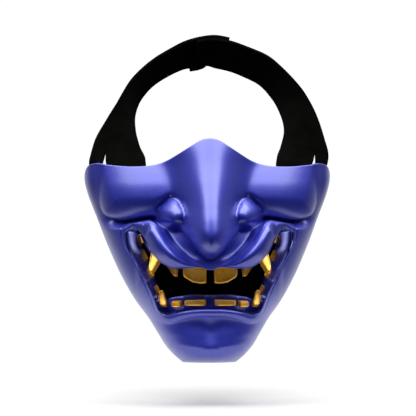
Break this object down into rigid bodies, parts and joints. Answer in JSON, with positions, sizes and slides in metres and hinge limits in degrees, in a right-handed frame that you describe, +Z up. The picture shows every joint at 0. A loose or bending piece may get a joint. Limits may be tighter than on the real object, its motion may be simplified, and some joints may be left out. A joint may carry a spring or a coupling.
{
  "type": "oni half mask",
  "caption": "Half-face oni mask with hooked nose, snarling mouth, gold fangs and teeth, and a black neoprene head strap.",
  "frame": {"origin": "the point between the mask's two rear upper corners, in the plane through them, level with the top edge's outer part: where the wearer's head carries it, as if worn upright", "axes": "+Z up as worn, -Y out of the face towards a viewer, +X to the viewer's right"},
  "size_m": [0.1764, 0.191, 0.2393],
  "materials": {
    "blue_paint": "satin metallic blue paint with fine flake over cast resin",
    "gold_paint": "satin gold paint, worn brighter at the edges",
    "black_cloth": "thin matte black cloth",
    "black_neoprene": "matte black neoprene with a knitted face",
    "hook_and_loop": "black hook-and-loop fastener"
  },
  "bodies": {
    "root": {"mask_shell": "blue_paint", "upper_gum": "blue_paint", "lower_gum": "blue_paint", "upper_central_left": "gold_paint", "upper_central_right": "gold_paint", "upper_lateral_left": "gold_paint", "upper_lateral_right": "gold_paint", "upper_fang_left": "gold_paint", "upper_fang_right": "gold_paint", "lower_central_left": "gold_paint", "lower_central_right": "gold_paint", "lower_lateral_left": "gold_paint", "lower_lateral_right": "gold_paint", "lower_fang_left": "gold_paint", "lower_fang_right": "gold_paint", "side_tooth_1_left": "gold_paint", "side_tooth_1_right": "gold_paint", "side_tooth_2_left": "gold_paint", "side_tooth_2_right": "gold_paint", "side_tooth_3_left": "gold_paint", "side_tooth_3_right": "gold_paint", "side_tooth_4_left": "gold_paint", "side_tooth_4_right": "gold_paint", "mouth_screen": "black_cloth", "strap_left": "black_neoprene", "patch_inner_left": "hook_and_loop", "patch_outer_left": "hook_and_loop", "strap_right": "black_neoprene", "patch_inner_right": "hook_and_loop", "patch_outer_right": "hook_and_loop"}
  },
  "joints": []
}
